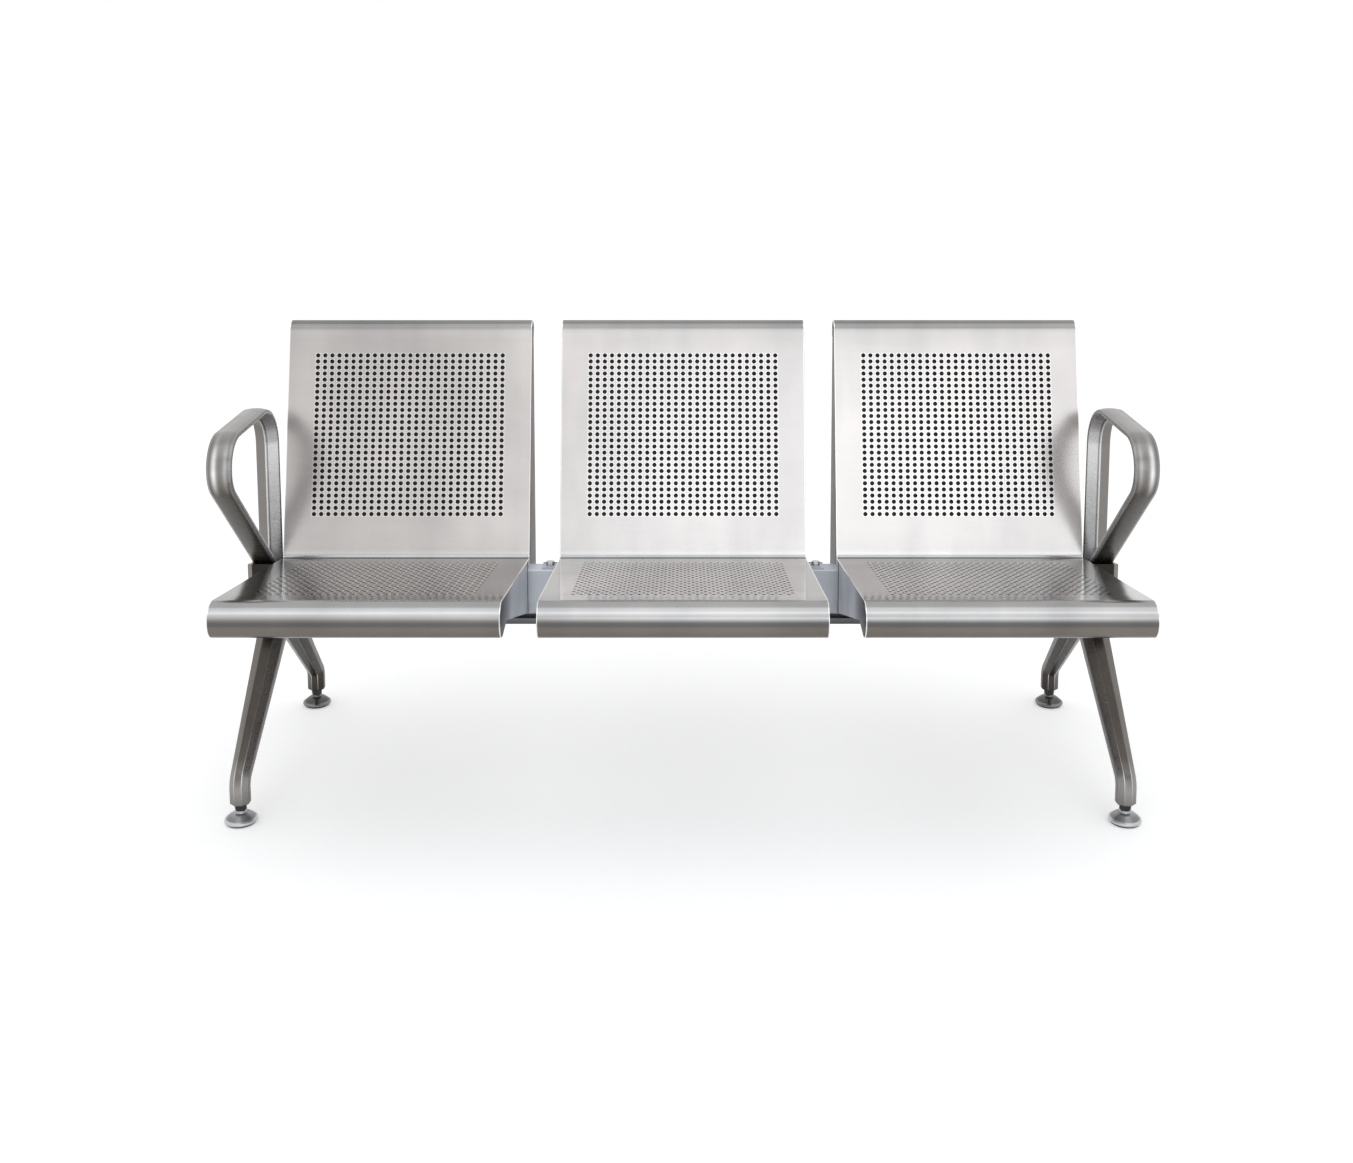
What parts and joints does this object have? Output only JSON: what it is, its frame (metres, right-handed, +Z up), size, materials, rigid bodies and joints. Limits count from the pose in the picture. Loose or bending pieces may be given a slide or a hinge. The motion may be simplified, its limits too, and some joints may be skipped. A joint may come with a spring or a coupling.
{
  "type": "beam seating",
  "caption": "Beam seating: perforated stainless seats in a row on one beam, looped armrests, splayed legs and screw levelling feet.",
  "frame": {"origin": "middle of the footprint's bounding box, on the floor under the pads", "axes": "+X along the bench to the sitter's left, +Y towards the back, +Z up"},
  "size_m": [1.576, 0.7589, 0.8302],
  "materials": {
    "satin_stainless": "satin",
    "plate_steel": "satin",
    "silver_paint": "satin",
    "polished_frame": "semi-gloss",
    "zinc_steel": "satin",
    "black_steel": "matte",
    "rubber": "matte"
  },
  "bodies": {
    "bench": {"left_seat_shell": "satin_stainless", "left_pan_channel": "silver_paint", "left_back_panel": "black_steel", "left_seat_left_plate": "plate_steel", "left_seat_right_plate": "plate_steel", "left_seat_bolts": "zinc_steel", "left_rivet_nuts": "zinc_steel", "middle_seat_shell": "satin_stainless", "middle_pan_channel": "silver_paint", "middle_back_panel": "black_steel", "middle_seat_left_plate": "plate_steel", "middle_seat_right_plate": "plate_steel", "middle_seat_bolts": "zinc_steel", "middle_rivet_nuts": "zinc_steel", "right_seat_shell": "satin_stainless", "right_pan_channel": "silver_paint", "right_back_panel": "black_steel", "right_seat_left_plate": "plate_steel", "right_seat_right_plate": "plate_steel", "right_seat_bolts": "zinc_steel", "right_rivet_nuts": "zinc_steel", "beam": "silver_paint", "left_end_plate": "silver_paint", "left_armrest": "polished_frame", "left_hub": "polished_frame", "left_front_leg": "polished_frame", "left_rear_leg": "polished_frame", "left_frame_screws": "zinc_steel", "right_end_plate": "silver_paint", "right_armrest": "polished_frame", "right_hub": "polished_frame", "right_front_leg": "polished_frame", "right_rear_leg": "polished_frame", "right_frame_screws": "zinc_steel", "front_left_leg_insert": "zinc_steel", "front_left_lock_nut": "black_steel", "front_right_leg_insert": "zinc_steel", "front_right_lock_nut": "black_steel", "rear_left_leg_insert": "zinc_steel", "rear_left_lock_nut": "black_steel", "rear_right_leg_insert": "zinc_steel", "rear_right_lock_nut": "black_steel"},
    "front_left_foot": {"front_left_disc": "zinc_steel", "front_left_pad": "rubber"},
    "front_left_screw": {"front_left_stud": "zinc_steel"},
    "front_right_foot": {"front_right_disc": "zinc_steel", "front_right_pad": "rubber"},
    "front_right_screw": {"front_right_stud": "zinc_steel"},
    "rear_left_foot": {"rear_left_disc": "zinc_steel", "rear_left_pad": "rubber"},
    "rear_left_screw": {"rear_left_stud": "zinc_steel"},
    "rear_right_foot": {"rear_right_disc": "zinc_steel", "rear_right_pad": "rubber"},
    "rear_right_screw": {"rear_right_stud": "zinc_steel"}
  },
  "joints": [
    {"name": "front_left_height", "type": "slide", "parent": "bench", "child": "front_left_foot", "axis": [0, 0, -1], "range_m": [0, 0.00875]},
    {"name": "front_left_turn", "type": "hinge", "parent": "front_left_foot", "child": "front_left_screw", "pos_m": [-0.76, -0.1585, 0.03], "axis": [0, 0, -1], "range_deg": [0, 1820]},
    {"name": "front_right_height", "type": "slide", "parent": "bench", "child": "front_right_foot", "axis": [0, 0, -1], "range_m": [0, 0.00875]},
    {"name": "front_right_turn", "type": "hinge", "parent": "front_right_foot", "child": "front_right_screw", "pos_m": [0.76, -0.1585, 0.03], "axis": [0, 0, -1], "range_deg": [0, 1820]},
    {"name": "rear_left_height", "type": "slide", "parent": "bench", "child": "rear_left_foot", "axis": [0, 0, -1], "range_m": [0, 0.00875]},
    {"name": "rear_left_turn", "type": "hinge", "parent": "rear_left_foot", "child": "rear_left_screw", "pos_m": [-0.76, 0.3515, 0.03], "axis": [0, 0, -1], "range_deg": [0, 1820]},
    {"name": "rear_right_height", "type": "slide", "parent": "bench", "child": "rear_right_foot", "axis": [0, 0, -1], "range_m": [0, 0.00875]},
    {"name": "rear_right_turn", "type": "hinge", "parent": "rear_right_foot", "child": "rear_right_screw", "pos_m": [0.76, 0.3515, 0.03], "axis": [0, 0, -1], "range_deg": [0, 1820]}
  ],
  "couplings": [
    {"joint": "front_left_turn", "follows": "front_left_height", "rad_per_m": 3590.4},
    {"joint": "front_right_turn", "follows": "front_right_height", "rad_per_m": 3590.4},
    {"joint": "rear_left_turn", "follows": "rear_left_height", "rad_per_m": 3590.4},
    {"joint": "rear_right_turn", "follows": "rear_right_height", "rad_per_m": 3590.4}
  ]
}
